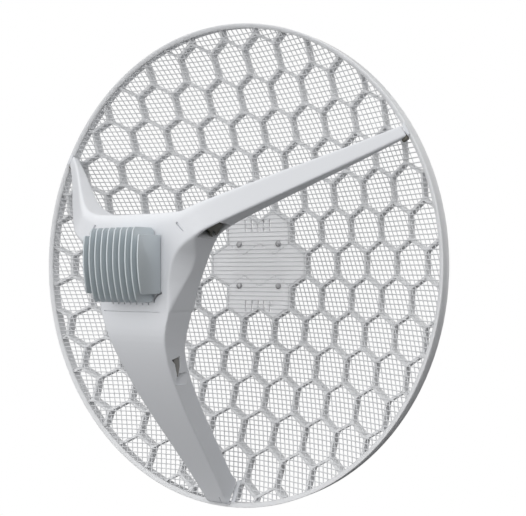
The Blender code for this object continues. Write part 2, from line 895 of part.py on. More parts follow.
# Radio heatsink


def fin_front(z):
    return SINK_FRONT + FIN_CROWN_RADIUS - math.sqrt(FIN_CROWN_RADIUS**2 - (z - FIN_CROWN_Z) ** 2)


def fin_outline(bottom, top, back, steps, corner):
    """Side view of a fin as (y, z) points: a bowed front edge with rounded corners and a straight back."""
    points = [(back, bottom), (back, top)]
    front_top = fin_front(top)
    front_bottom = fin_front(bottom)
    for k in range(4):
        turn = math.radians(90 * k / 4)
        points.append((front_top + corner - corner * math.sin(turn), top - corner + corner * math.cos(turn)))
    for k in range(steps + 1):
        z = (top - corner) + (bottom + corner - top + corner) * k / steps
        points.append((fin_front(z), z))
    for k in range(1, 5):
        turn = math.radians(90 * k / 4)
        points.append((front_bottom + corner - corner * math.cos(turn), bottom + corner - corner * math.sin(turn)))
    return points


def fin_solid(x, thickness, outline):
    loops = [[(x + side * thickness / 2, y, z) for y, z in outline] for side in (-1, 1)]
    return loft(loops)


def build_heatsink():
    base_front = SINK_BACK - 0.0060
    pitch = 2 * (SINK_HALF_WIDTH - FIN_THICKNESS / 2) / (FIN_COUNT - 1)
    first = -SINK_HALF_WIDTH + FIN_THICKNESS / 2
    # a cross: as wide as the gap between the end plates, and as tall as the fins between them
    side = SINK_HALF_WIDTH - FIN_THICKNESS - GAP
    inner = -first - pitch + FIN_THICKNESS / 2
    low, high, shoulder = SINK_BOTTOM + 0.0006, SINK_TOP - 0.0006, END_PLATE_HALF_HEIGHT - 0.0006
    base = [
        (-side, -shoulder),
        (-inner, -shoulder),
        (-inner, low),
        (inner, low),
        (inner, -shoulder),
        (side, -shoulder),
        (side, shoulder),
        (inner, shoulder),
        (inner, high),
        (-inner, high),
        (-inner, shoulder),
        (-side, shoulder),
    ]
    block("heatsink_base", base, base_front, SINK_BACK, METAL)
    tall = fin_outline(SINK_BOTTOM, SINK_TOP, base_front - GAP, 9, 0.0024)
    for number in range(1, FIN_COUNT - 1):
        points, faces = fin_solid(first + pitch * number, FIN_THICKNESS, tall)
        add_node(f"heatsink_fin_{number}", points, outward(points, faces), METAL)
    short = fin_outline(-END_PLATE_HALF_HEIGHT, END_PLATE_HALF_HEIGHT, SINK_BACK, 8, 0.0012)
    for name, x in (("left", first), ("right", -first)):
        points, faces = fin_solid(x, FIN_THICKNESS, short)
        add_node(f"heatsink_end_{name}", points, outward(points, faces), METAL)


clear_scene()
build_rim()
build_sectors()
for sector in range(6):
    build_wire_sector(sector)
build_patch()
build_mount()
build_arm()
build_feed()
build_heatsink()
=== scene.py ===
import math
import bpy
import bmesh
from mathutils import Matrix, Vector


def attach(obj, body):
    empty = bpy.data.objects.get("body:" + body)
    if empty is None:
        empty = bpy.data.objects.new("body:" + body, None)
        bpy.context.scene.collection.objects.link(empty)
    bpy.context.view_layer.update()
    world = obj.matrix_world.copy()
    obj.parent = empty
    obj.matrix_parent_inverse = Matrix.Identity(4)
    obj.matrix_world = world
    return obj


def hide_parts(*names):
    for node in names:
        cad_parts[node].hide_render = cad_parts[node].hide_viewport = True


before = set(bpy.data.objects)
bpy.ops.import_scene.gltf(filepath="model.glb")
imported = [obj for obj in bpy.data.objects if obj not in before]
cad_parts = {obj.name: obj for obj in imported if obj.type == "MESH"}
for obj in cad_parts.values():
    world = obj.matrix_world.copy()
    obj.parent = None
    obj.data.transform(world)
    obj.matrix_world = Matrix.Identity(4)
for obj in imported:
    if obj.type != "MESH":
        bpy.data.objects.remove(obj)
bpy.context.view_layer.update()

# The reflecting bowl, as the solids have it. Its vertex lies behind the mesh, in front of the mount.
dish = {"focal": 0.1614, "vertexY": -0.0334}


def dishY(x, z):
    return dish["vertexY"] - (x * x + z * z) / (4 * dish["focal"])


# Small helpers for the modelling


def useOnly(obj):
    if bpy.context.object and bpy.context.object.mode != "OBJECT":
        bpy.ops.object.mode_set(mode="OBJECT")
    bpy.ops.object.select_all(action="DESELECT")
    obj.select_set(True)
    bpy.context.view_layer.objects.active = obj


def named(name):
    obj = bpy.context.active_object
    obj.name = name
    obj.data.name = name
    return obj


def edit(obj, mode="EDGE"):
    useOnly(obj)
    bpy.ops.object.mode_set(mode="EDIT")
    bpy.ops.mesh.select_mode(type=mode)
    bpy.ops.mesh.select_all(action="DESELECT")
    return bmesh.from_edit_mesh(obj.data)


def editAll(obj, mode="FACE"):
    edit(obj, mode)
    bpy.ops.mesh.select_all(action="SELECT")


def endEdit():
    bpy.ops.object.mode_set(mode="OBJECT")


def pick(obj, elements, test):
    # selects what passes the test and says how many
    count = 0
    for element in elements:
        chosen = bool(test(element))
        element.select_set(chosen)
        count += chosen
    bmesh.update_edit_mesh(obj.data)
    return count


def applyModifier(obj, kind, **settings):
    useOnly(obj)
    modifier = obj.modifiers.new(kind.lower(), kind)
    for key, value in settings.items():
        setattr(modifier, key, value)
    bpy.ops.object.modifier_apply(modifier=modifier.name)


def roundEdges(obj, width, segments=2):
    limit = math.radians(30)
    applyModifier(obj, "BEVEL", width=width, segments=segments, limit_method="ANGLE", angle_limit=limit)


def mergeDoubles(obj, distance=0.00002):
    editAll(obj, "VERT")
    bpy.ops.mesh.remove_doubles(threshold=distance)
    endEdit()


def mergeFlat(obj):
    # triangles that lie in one plane become one face
    editAll(obj)
    bpy.ops.mesh.dissolve_limited(angle_limit=math.radians(0.5))
    endEdit()


def outwardNormals(obj):
    editAll(obj)
    bpy.ops.mesh.normals_make_consistent(inside=False)
    endEdit()


def extrudeAll(obj, lift):
    editAll(obj)
    bpy.ops.mesh.extrude_region_move(TRANSFORM_OT_translate={"value": lift})
    endEdit()
    outwardNormals(obj)


def applyPlace(obj):
    useOnly(obj)
    bpy.ops.object.transform_apply(location=True, rotation=True, scale=True)


def smooth(obj, degrees=40):
    useOnly(obj)
    bpy.ops.object.shade_smooth_by_angle(angle=math.radians(degrees))


def copyOf(node, name):
    # a copy of a CAD node's mesh, with its loose triangles merged
    obj = bpy.data.objects.new(name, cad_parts[node].data.copy())
    bpy.context.scene.collection.objects.link(obj)
    mergeDoubles(obj)
    return obj


def joined(objects, name):
    useOnly(objects[0])
    for obj in objects[1:]:
        obj.select_set(True)
    bpy.ops.object.join()
    return named(name)


def prism(name, outline, lift):
    # a closed bar: a flat outline extruded along lift
    bpy.ops.object.select_all(action="DESELECT")
    bpy.ops.mesh.primitive_circle_add(vertices=len(outline), radius=0.01, fill_type="NGON")
    obj = named(name)
    for v, spot in zip(obj.data.vertices, outline):
        v.co = spot
    extrudeAll(obj, lift)
    return obj


def oblong(left, right, low, high):
    return (left, low), (right, low), (right, high), (left, high)


def mirrored(obj, name):
    # the same bar on the other side of the dish's middle plane
    other = bpy.data.objects.new(name, obj.data.copy())
    bpy.context.scene.collection.objects.link(other)
    for v in other.data.vertices:
        v.co.x = -v.co.x
    outwardNormals(other)
    return other


def cut(obj, cutters):
    # cutters of one call must not run into each other
    tool = joined(cutters, obj.name + "Cutter")
    applyModifier(obj, "BOOLEAN", operation="DIFFERENCE", solver="EXACT", object=tool)
    bpy.data.objects.remove(tool, do_unlink=True)


def finish(obj, material, stands=()):
    obj.data.materials.clear()
    obj.data.materials.append(material)
    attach(obj, "root")
    if stands:
        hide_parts(*stands)
    print("made", obj.name, len(obj.data.polygons), "faces")
    return obj


# Shared effects, each a node group

effects = {
    "fineShare": 0.3,
    "broadShare": 0.7,
    # how sharply a rounded edge shows as rubbed, and from which noise level it does
    "edgeGain": 4.0,
    "breakFrom": 0.42,
    "breakGain": 5.0,
}


def newGroup(name, inputs, outputs):
    group = bpy.data.node_groups.new(name, "ShaderNodeTree")
    for label, value in inputs:
        socket = group.interface.new_socket(name=label, in_out="INPUT", socket_type="NodeSocketFloat")
        socket.default_value = value
    for label in outputs:
        group.interface.new_socket(name=label, in_out="OUTPUT", socket_type="NodeSocketFloat")
    start = group.nodes.new("NodeGroupInput")
    end = group.nodes.new("NodeGroupOutput")
    return group, start, end


def mathNode(tree, operation, a, b, clamp=False):
    node = tree.nodes.new("ShaderNodeMath")
    node.operation = operation
    node.use_clamp = clamp
    for place, value in enumerate((a, b)):
        if isinstance(value, (int, float)):
            node.inputs[place].default_value = value
        else:
            tree.links.new(value, node.inputs[place])
    return node.outputs[0]


def mixColour(tree, factor, a, b):
    # colours are given as (red, green, blue)
    node = tree.nodes.new("ShaderNodeMix")
    node.data_type = "RGBA"
    for place, value in ((0, factor), (6, a), (7, b)):
        if isinstance(value, tuple):
            node.inputs[place].default_value = (*value, 1)
        elif isinstance(value, (int, float)):
            node.inputs[place].default_value = value
        else:
            tree.links.new(value, node.inputs[place])
    return node.outputs[2]


def noiseOn(group, scale, detail=2.0):
    # noise fixed to the object, at the scale of a socket
    place = group.nodes.new("ShaderNodeTexCoord")
    noise = group.nodes.new("ShaderNodeTexNoise")
    noise.inputs["Detail"].default_value = detail
    group.links.new(place.outputs["Object"], noise.inputs["Vector"])
    group.links.new(scale, noise.inputs["Scale"])
    return noise.outputs["Fac"]


def buildGrain():
    # fine spark-eroded grain of a moulding tool: a height and a small change of tone
    group, start, end = newGroup("mouldedGrain", (("Size", 900.0), ("Flow", 14.0)), ("Height", "Tone"))
    fine = noiseOn(group, start.outputs["Size"], 3.0)
    broad = noiseOn(group, start.outputs["Flow"])
    group.links.new(fine, end.inputs["Height"])
    fine = mathNode(group, "MULTIPLY", fine, effects["fineShare"])
    broad = mathNode(group, "MULTIPLY", broad, effects["broadShare"])
    group.links.new(mathNode(group, "ADD", fine, broad), end.inputs["Tone"])
    return group


def buildWear():
    # where an edge has been rubbed: the rounded normal leaves the flat one, broken up by noise
    group, start, end = newGroup("rubbedEdge", (("Width", 0.0006), ("Breakup", 220.0)), ("Mask",))
    links = group.links
    bevel = group.nodes.new("ShaderNodeBevel")
    bevel.samples = 3
    links.new(start.outputs["Width"], bevel.inputs["Radius"])
    geometry = group.nodes.new("ShaderNodeNewGeometry")
    dot = group.nodes.new("ShaderNodeVectorMath")
    dot.operation = "DOT_PRODUCT"
    links.new(bevel.outputs["Normal"], dot.inputs[0])
    links.new(geometry.outputs["Normal"], dot.inputs[1])
    bend = mathNode(group, "SUBTRACT", 1.0, dot.outputs["Value"])
    edge = mathNode(group, "MULTIPLY", bend, effects["edgeGain"], True)
    noise = mathNode(group, "SUBTRACT", noiseOn(group, start.outputs["Breakup"]), effects["breakFrom"])
    rough = mathNode(group, "MULTIPLY", noise, effects["breakGain"], True)
    links.new(mathNode(group, "MULTIPLY", edge, rough), end.inputs["Mask"])
    return group


def buildDust():
    # a thin film that settles on what faces up, uneven over a few centimetres
    group, start, end = newGroup("settledDust", (("Amount", 0.2), ("Scale", 40.0)), ("Mask",))
    links = group.links
    geometry = group.nodes.new("ShaderNodeNewGeometry")
    split = group.nodes.new("ShaderNodeSeparateXYZ")
    links.new(geometry.outputs["Normal"], split.inputs[0])
    up = mathNode(group, "MULTIPLY", split.outputs["Z"], 1.0, True)
    film = mathNode(group, "MULTIPLY", up, noiseOn(group, start.outputs["Scale"], 4.0))
    links.new(mathNode(group, "MULTIPLY", film, start.outputs["Amount"], True), end.inputs["Mask"])
    return group


grainGroup = buildGrain()
wearGroup = buildWear()
dustGroup = buildDust()


def newMaterial(name):
    material = bpy.data.materials.new(name)
    material.use_nodes = True
    tree = material.node_tree
    return material, tree, tree.nodes["Principled BSDF"]


def addEffect(tree, group, **values):
    node = tree.nodes.new("ShaderNodeGroup")
    node.node_tree = group
    for label, value in values.items():
        node.inputs[label].default_value = value
    return node.outputs


def addBump(tree, height, strength, distance, shader):
    bump = tree.nodes.new("ShaderNodeBump")
    bump.inputs["Strength"].default_value = strength
    bump.inputs["Distance"].default_value = distance
    tree.links.new(height, bump.inputs["Height"])
    tree.links.new(bump.outputs["Normal"], shader.inputs["Normal"])


def spreadOut(tree, value, spread, least):
    return mathNode(tree, "ADD", mathNode(tree, "MULTIPLY", value, spread), least)


plastic = {
    "flow": 16.0,
    "worn": (0.86, 0.86, 0.87),
    "wear": {"Width": 0.0006, "Breakup": 240.0},
    "wornShare": 0.35,
    "dust": (0.70, 0.69, 0.66),
    "film": {"Amount": 0.16, "Scale": 45.0},
    "dull": 0.5,
    "roughness": 0.35,
    "spread": 0.14,
    "specular": 0.42,
    "soakDepth": 0.004,
    "grainDepth": 0.0002,
}


def satinPlastic(name, colour, shade, grainSize, bump, wear=True, soak=0.0):
    # off-white weatherproof plastic with a fine satin grain
    material, tree, shader = newMaterial(name)
    grain = addEffect(tree, grainGroup, Size=grainSize, Flow=plastic["flow"])
    tone = mixColour(tree, grain["Tone"], shade, colour)
    if wear:
        edge = addEffect(tree, wearGroup, **plastic["wear"])
        share = mathNode(tree, "MULTIPLY", edge["Mask"], plastic["wornShare"])
        tone = mixColour(tree, share, tone, plastic["worn"])
    dust = addEffect(tree, dustGroup, **plastic["film"])
    tone = mixColour(tree, dust["Mask"], tone, plastic["dust"])
    tree.links.new(tone, shader.inputs["Base Color"])
    rough = spreadOut(tree, grain["Tone"], plastic["spread"], plastic["roughness"])
    dull = mathNode(tree, "MULTIPLY", dust["Mask"], plastic["dull"])
    tree.links.new(mathNode(tree, "ADD", rough, dull), shader.inputs["Roughness"])
    shader.inputs["Specular IOR Level"].default_value = plastic["specular"]
    # light that soaks through the thin walls
    if soak:
        shader.inputs["Subsurface Weight"].default_value = soak
        shader.inputs["Subsurface Radius"].default_value = (1.0, 1.0, 1.0)
        shader.inputs["Subsurface Scale"].default_value = plastic["soakDepth"]
    addBump(tree, grain["Height"], bump, plastic["grainDepth"], shader)
    return material


metal = {
    "cast": {
        "grain": {"Size": 1100.0, "Flow": 26.0},
        "colours": ((0.58, 0.63, 0.66), (0.64, 0.69, 0.715)),
        "wear": {"Width": 0.0005, "Breakup": 400.0},
        "worn": (0.82, 0.84, 0.85),
        "wornShare": 0.6,
        "spread": 0.2, "roughness": 0.32, "metallic": 0.35, "bump": 0.25, "grainDepth": 0.0003,
    },
    "plated": {
        "grain": {"Size": 700.0, "Flow": 60.0},
        "colours": ((0.30, 0.30, 0.31), (0.44, 0.44, 0.45)),
        "spread": 0.25, "roughness": 0.2, "metallic": 0.9, "bump": 0.15, "grainDepth": 0.0002,
    },
}


def grainedMetal(name, look):
    material, tree, shader = newMaterial(name)
    grain = addEffect(tree, grainGroup, **look["grain"])
    tone = mixColour(tree, grain["Tone"], *look["colours"])
    if "wear" in look:
        edge = addEffect(tree, wearGroup, **look["wear"])
        share = mathNode(tree, "MULTIPLY", edge["Mask"], look["wornShare"])
        tone = mixColour(tree, share, tone, look["worn"])
    tree.links.new(tone, shader.inputs["Base Color"])
    rough = spreadOut(tree, grain["Tone"], look["spread"], look["roughness"])
    tree.links.new(rough, shader.inputs["Roughness"])
    shader.inputs["Metallic"].default_value = look["metallic"]
    addBump(tree, grain["Height"], look["bump"], look["grainDepth"], shader)
    return material


shellPlastic = satinPlastic("shellPlastic", (0.775, 0.79, 0.82), (0.735, 0.75, 0.78), 1500.0, 0.10)
reflectorPlastic = satinPlastic(
    "reflectorPlastic", (0.775, 0.785, 0.80), (0.735, 0.745, 0.765), 1300.0, 0.08, soak=0.7
)
wirePlastic = satinPlastic("wirePlastic", (0.72, 0.73, 0.745), (0.67, 0.68, 0.695), 1300.0, 0.05, False)
# lighter than the rest of the plastic: painted light that makes up for the shade the hub and feed cast on
# the patch
patchLightenedPlastic = satinPlastic(
    "patchLightenedPlastic", (0.90, 0.905, 0.925), (0.87, 0.875, 0.895), 1300.0, 0.08, soak=0.5
)
radomePlastic = satinPlastic("radomePlastic", (0.70, 0.70, 0.70), (0.64, 0.64, 0.64), 1200.0, 0.06)
# blasted die-cast aluminium: blue-grey, with a pebbled skin and brighter edges
sinkMetal = grainedMetal("sinkMetal", metal["cast"])
# near-black olive: the inner frames' dark colour, which also paints the shade in the openings and under the
# leg tips
frameShadePlastic = satinPlastic("frameShadePlastic", (0.105, 0.10, 0.078), (0.075, 0.072, 0.058), 1200.0, 0.08, False)
# dark grey: painted shade in the slot at the rear of each hook
hookShadePlastic = satinPlastic("hookShadePlastic", (0.30, 0.295, 0.28), (0.24, 0.235, 0.225), 1200.0, 0.08, False)
screwSteel = grainedMetal("screwSteel", metal["plated"])
print("materials ready")


# Wire mesh over the ribs: level wires in front, slanted ones behind them

wireMesh = {
    "reach": 0.1925,
    "margin": 0.004,
    "segments": 20,
    "radius": 0.00042,
    "shading": 70,
    "level": {"spacing": 0.003675, "first": 0.00275, "turn": 0.0, "depth": -0.00020},
    "slanted": {"spacing": 0.004190, "first": 0.00418, "turn": 70.08, "depth": 0.00050},
}


def buildWires(name, settings):
    spacing, reach = settings["spacing"], wireMesh["reach"]
    low = math.ceil((-reach + wireMesh["margin"] - settings["first"]) / spacing)
    high = math.floor((reach - wireMesh["margin"] - settings["first"]) / spacing)
    rows = high - low
    bpy.ops.mesh.primitive_grid_add(
        x_subdivisions=wireMesh["segments"], y_subdivisions=rows, size=2, rotation=(math.pi / 2, 0, 0)
    )
    obj = named(name)
    middle = settings["first"] + spacing * (low + high) / 2
    obj.scale = (1, rows * spacing / 2, 1)
    obj.location = (0, 0, middle)
    applyPlace(obj)
    mesh = edit(obj)
    pick(obj, mesh.edges, lambda e: abs(e.verts[0].co.z - e.verts[1].co.z) > spacing / 2)
    bpy.ops.mesh.delete(type="EDGE")
    endEdit()
    for v in obj.data.vertices:
        v.co.x *= math.sqrt(reach * reach - v.co.z * v.co.z)
    obj.rotation_euler = (0, math.radians(settings["turn"]), 0)
    applyPlace(obj)
    for v in obj.data.vertices:
        v.co.y = dishY(v.co.x, v.co.z) + settings["depth"]
    useOnly(obj)
    bpy.ops.object.convert(target="CURVE")
    obj = bpy.context.active_object
    obj.data.bevel_depth = wireMesh["radius"]
    obj.data.bevel_resolution = 0
    obj.data.use_fill_caps = True
    bpy.ops.object.convert(target="MESH")
    obj = named(name)
    smooth(obj, wireMesh["shading"])
    # the solids hold every fourth wire, so the true mesh stands for them
    return finish(obj, wirePlastic, [f"wire_sector_{n}" for n in range(1, 7)])


buildWires("wiresLevel", wireMesh["level"])
buildWires("wiresSlanted", wireMesh["slanted"])


# Honeycomb ribs: the six sectors joined into one lattice, with each junction filleted

ribs = {"fillet": 0.0046, "steps": 3, "gap": 0.00034, "flat": 2, "tall": 0.006}


def innerCorner(edge):
    # a tall edge where two walls meet at less than 180 degrees
    a, b = edge.verts
    if abs(a.co.y - b.co.y) < ribs["tall"] or len(edge.link_faces) != 2:
        return False
    one, two = edge.link_faces
    across = two.calc_center_median() - one.calc_center_median()
    return across.dot(one.normal) > 1e-5


def buildRibs():
    sectors = [f"grid_sector_{n}" for n in range(1, 7)]
    obj = joined([copyOf(node, "rib" + node[-1]) for node in sectors], "honeycombRibs")
    editAll(obj, "VERT")
    bpy.ops.mesh.remove_doubles(threshold=ribs["gap"])
    bpy.ops.mesh.select_mode(type="FACE")
    bpy.ops.mesh.select_all(action="DESELECT")
    bpy.ops.mesh.select_interior_faces()
    bpy.ops.mesh.delete(type="ONLY_FACE")
    bpy.ops.mesh.select_all(action="SELECT")
    bpy.ops.mesh.dissolve_limited(angle_limit=math.radians(ribs["flat"]))
    endEdit()
    mesh = edit(obj)
    print("rib corners", pick(obj, mesh.edges, innerCorner))
    bpy.ops.mesh.bevel(offset=ribs["fillet"], segments=ribs["steps"], affect="EDGES", clamp_overlap=True)
    endEdit()
    smooth(obj)
    return finish(obj, reflectorPlastic, sectors)


buildRibs()


# Tripod arm: hub and legs as one smooth moulding, with its seam, latches and openings cut in

arm = {
    "voxel": 0.0009,
    "smoothing": 4,
    "shading": 32,
    # the lower leg's top is raised by the overlap, so that it runs into the hub
    "legTop": -0.0340,
    "overlap": 0.0010,
    "hubFront": -0.1968,
    # how far outside the surface a cutter starts
    "clear": 0.0020,
    # the cover's seam runs over the front only
    "seam": {"left": -0.0290, "right": 0.0243, "z": -0.0340, "width": 0.0006, "depth": 0.0014},
    # slanted latch slit on each shoulder: top and bottom end, each with its width
    "latch": {
        "top": (0.0397, 0.0294), "bottom": (0.0460, 0.0229),
        "wide": 0.0020, "narrow": 0.0006, "depth": 0.0016, "leftShift": 0.0025,
    },
    # opening under each upper leg, as (x, y, z) on the wall, the way in, and the share of it outside
    "pocket": (
        (0.0554, -0.1934, 0.0187), (0.0627, -0.1916, 0.0243), (0.0672, -0.1884, 0.0271),
        (0.0700, -0.1862, 0.0288), (0.0680, -0.1690, 0.0276), (0.0552, -0.1690, 0.0180),
        (0.0553, -0.1865, 0.0182),
    ),
    "pocketIn": (-0.0080, 0.0, 0.0100),
    "pocketOut": 0.3,
    # frame inside that opening, between two shares of the way in; its near-black colour is painted shade of
    # the hollow behind
    "frame": (
        (0.0623, -0.1891, 0.0240), (0.0663, -0.1882, 0.0265), (0.0699, -0.1860, 0.0287),
        (0.0659, -0.1759, 0.0263), (0.0611, -0.1726, 0.0232), (0.0583, -0.1713, 0.0212),
        (0.0560, -0.1706, 0.0190), (0.0592, -0.1764, 0.0218), (0.0591, -0.1790, 0.0218),
        (0.0553, -0.1732, 0.0181), (0.0552, -0.1755, 0.0181), (0.0592, -0.1824, 0.0219),
        (0.0602, -0.1863, 0.0226),
    ),
    "frameFrom": 0.12,
    "frameTo": 1.05,
    # cable hook in the side of the lower leg, as (y, z), and the slot at its rear, filled with a dark block
    # of painted shade
    "hook": (
        (-0.1826, -0.0690), (-0.1732, -0.0668), (-0.1715, -0.0745), (-0.1735, -0.0826), (-0.1762, -0.0770),
        (-0.1780, -0.0728),
    ),
    "hookX": 0.0275,
    "hookDepth": 0.0099,
    "hookSlot": (
        (-0.1782, -0.0680), (-0.1732, -0.0670), (-0.1717, -0.0745), (-0.1736, -0.0822), (-0.1757, -0.0778),
        (-0.1754, -0.0742), (-0.1782, -0.0722),
    ),
    "slotX": 0.0225,
    "slotDepth": 0.0060,
    # sloped cut below the hook: its x is measured from the leg's side face
    "ramp": {
        "face": 0.0218, "outside": 0.0030, "depth": 0.0040, "lip": 0.0006, "lean": -0.0009,
        "top": -0.0797, "bottom": -0.0885, "from": -0.1745, "to": -0.1615,
    },
    # dark block under the tip of each upper leg, painted shade of the recess there: distances from the axis,
    # y, and heights across the leg
    "legAngle": 30,
    "tipShadeBlock": {
        "from": 0.1866, "to": 0.1914, "front": -0.0938, "back": -0.0908, "low": -0.0070, "high": -0.0030,
    },
    # short gap in the face of the lower leg's foot, which slopes back by the lean
    "footGap": {
        "x": 0.0056, "width": 0.0007, "top": -0.1862, "bottom": -0.1925,
        "front": -0.1035, "depth": 0.0045, "lean": 0.0045,
    },
    # curved gap at the heatsink's lower corner and the short grooves under its fins
    "corner": {
        "centre": (0.0272, -0.0284), "radius": 0.0073, "width": 0.0014, "start": 93, "end": 172, "steps": 8,
        "depth": 0.0065,
    },
    "comb": {
        "first": -0.0256, "pitch": 0.005689, "from": 1, "to": 7, "width": 0.0009, "top": -0.0260,
        "bottom": -0.0290, "depth": 0.0012,
    },
    # rounding of the dark pieces of painted shade behind the openings and under the tips
    "innerRound": 0.0004,
}


def onLeg(reach, y, across):
    # a spot on the right upper leg: distance from the axis, y and height across the leg
    turn = math.radians(arm["legAngle"])
    ux, uz = math.cos(turn), math.sin(turn)
    return Vector((ux * reach - uz * across, y, uz * reach + ux * across))


def frontBar(name, outline, depth):
    # a cutter into the arm's front, from its outline as (x, z)
    front = arm["hubFront"] - arm["clear"]
    return prism(name, [(x, front, z) for x, z in outline], (0, arm["clear"] + depth, 0))


def seamBar():
    seam = arm["seam"]
    half = seam["width"] / 2
    outline = oblong(seam["left"], seam["right"], seam["z"] - half, seam["z"] + half)
    return frontBar("seamBar", outline, seam["depth"])


def latchBar():
    latch = arm["latch"]
    top, bottom = Vector(latch["top"]), Vector(latch["bottom"])
    along = (bottom - top).normalized()
    side = Vector((along.y, -along.x))
    wide, narrow = latch["wide"], latch["narrow"]
    ends = ((top, wide, 1), (top, wide, -1), (bottom, narrow, -1), (bottom, narrow, 1))
    return frontBar("latchBar", [end + side * way * width / 2 for end, width, way in ends], latch["depth"])


def pocketBar():
    inward = Vector(arm["pocketIn"])
    outline = [Vector(spot) - inward * arm["pocketOut"] for spot in arm["pocket"]]
    return prism("pocketBar", outline, inward * (1 + arm["pocketOut"]))


def hookBar():
    return prism("hookBar", [(arm["hookX"], y, z) for y, z in arm["hook"]], (-arm["hookDepth"], 0, 0))


def rampBar():
    ramp = arm["ramp"]
    outside = ramp["face"] + ramp["outside"]
    wedge = (
        (outside, ramp["from"]), (ramp["face"] - ramp["depth"], ramp["from"]),
        (ramp["face"] + ramp["lip"], ramp["to"]), (outside, ramp["to"]),
    )
    outline = [(x, y, ramp["top"]) for x, y in wedge]
    return prism("rampBar", outline, (ramp["lean"], 0, ramp["bottom"] - ramp["top"]))


def footBar():
    gap = arm["footGap"]
    left, right = gap["x"] - gap["width"] / 2, gap["x"] + gap["width"] / 2
    outline = [(x, gap["front"], gap["top"]) for x in (left, right)]
    outline += [(x, gap["front"] + gap["lean"], gap["bottom"]) for x in (right, left)]
    return prism("footBar", outline, (0, gap["depth"], 0))


def cornerBar():
    corner = arm["corner"]
    cx, cz = corner["centre"]
    span, steps = corner["end"] - corner["start"], corner["steps"]
    ring = []
    for radius, way in ((corner["radius"], 1), (corner["radius"] + corner["width"], -1)):
        for step in range(steps + 1)[::way]:
            turn = math.radians(corner["start"] + span * step / steps)
            ring.append((cx + radius * math.cos(turn), cz + radius * math.sin(turn)))
    return frontBar("cornerBar", ring, corner["depth"])


def combBars():
    comb = arm["comb"]
    half = comb["width"] / 2
    bars = []
    for number in range(comb["from"], comb["to"] + 1):
        x = comb["first"] + comb["pitch"] * number
        outline = oblong(x - half, x + half, comb["bottom"], comb["top"])
        bars.append(frontBar("combBar", outline, comb["depth"]))
    return bars


def buildArm():
    yoke = copyOf("arm_yoke", "armYokeCopy")
    lower = copyOf("arm_leg_lower", "armLegCopy")
    mesh = edit(lower, "VERT")
    pick(lower, mesh.verts, lambda v: v.co.z > arm["legTop"])
    bpy.ops.transform.translate(value=(0, 0, arm["overlap"]))
    endEdit()
    obj = joined([yoke, lower], "armShell")
    applyModifier(obj, "REMESH", mode="VOXEL", voxel_size=arm["voxel"])
    applyModifier(obj, "SMOOTH", iterations=arm["smoothing"], factor=0.5)

    paired = [latchBar(), pocketBar(), hookBar(), rampBar(), cornerBar()]
    paired += [mirrored(bar, bar.name + "Left") for bar in paired]
    for bar in paired:
        if bar.name == "latchBarLeft":
            for v in bar.data.vertices:
                v.co.x += arm["latch"]["leftShift"]
    # the ramps run into the hooks and a groove of the comb into a corner gap, so they are cut later
    late = [bar for bar in paired if bar.name.startswith("ramp")] + combBars()
    cut(obj, [seamBar(), footBar()] + [bar for bar in paired if bar not in late])
    cut(obj, late)
    smooth(obj, arm["shading"])
    return finish(obj, shellPlastic, ["arm_yoke", "arm_leg_lower"])


buildArm()


def buildInnerParts():
    # the dark pieces seen through the openings of the arm and under its tips: painted shade, and in the
    # openings also the frames' own dark colour
    inward = Vector(arm["pocketIn"])
    innerFrameShade = [Vector(spot) + inward * arm["frameFrom"] for spot in arm["frame"]]
    hookShade = [(arm["slotX"], y, z) for y, z in arm["hookSlot"]]
    tipShadeBlock = arm["tipShadeBlock"]
    ends = (("from", "front"), ("to", "front"), ("to", "back"), ("from", "back"))
    tipShade = [onLeg(tipShadeBlock[end], tipShadeBlock[side], tipShadeBlock["low"]) for end, side in ends]
    made = (
        ("innerFrameShades", innerFrameShade, inward * (arm["frameTo"] - arm["frameFrom"]), frameShadePlastic),
        ("hookShades", hookShade, (-arm["slotDepth"], 0, 0), hookShadePlastic),
        ("tipShades", tipShade, onLeg(0, 0, tipShadeBlock["high"] - tipShadeBlock["low"]), frameShadePlastic),
    )
    for name, outline, lift, material in made:
        bar = prism(name + "Right", outline, lift)
        obj = joined([bar, mirrored(bar, name + "Left")], name)
        roundEdges(obj, arm["innerRound"])
        smooth(obj)
        finish(obj, material)


buildInnerParts()


# The CAD shapes that only need their edges rounded and their walls smoothed


def dressed(nodes, name, material, width, segments=2):
    obj = copyOf(nodes[0], name)
    if len(nodes) > 1:
        obj = joined([obj] + [copyOf(node, name + "Part") for node in nodes[1:]], name)
    mergeFlat(obj)
    roundEdges(obj, width, segments)
    smooth(obj)
    return finish(obj, material, nodes)


# Radio heatsink: fins that run back to the hub, the end plates, and the body between them

sink = {
    "fins": range(1, 9),
    "back": -0.1978,
    "round": 0.0003,
    # slope of the corners against the hub
    "shoulder": 0.0026,
    "near": 0.0002,
    "bodyInset": 0.0002,
    "bodyRound": 0.0005,
    "bodyHalf": 0.0206,
    "bodyNear": 0.0006,
    "bodyTop": 0.0240,
    "endRound": 0.0004,
}


def isLevel(edge):
    return abs(edge.verts[0].co.z - edge.verts[1].co.z) < 0.0001


def buildFins():
    nodes = [f"heatsink_fin_{n}" for n in sink["fins"]]
    obj = joined([copyOf(node, "fin" + node[-1]) for node in nodes], "sinkFins")
    mergeFlat(obj)
    mesh = edit(obj, "VERT")
    deepest = max(v.co.y for v in mesh.verts)
    pick(obj, mesh.verts, lambda v: v.co.y > deepest - sink["near"])
    bpy.ops.transform.translate(value=(0, sink["back"] - deepest, 0))
    bpy.ops.mesh.select_all(action="DESELECT")
    # the two corners against the hub are sloped off
    bpy.ops.mesh.select_mode(type="EDGE")
    start = sink["back"] - sink["near"]
    pick(obj, mesh.edges, lambda e: isLevel(e) and all(v.co.y > start for v in e.verts))
    bpy.ops.mesh.bevel(offset=sink["shoulder"], segments=1, affect="EDGES")
    endEdit()
    roundEdges(obj, sink["round"])
    smooth(obj)
    return finish(obj, sinkMetal, nodes)


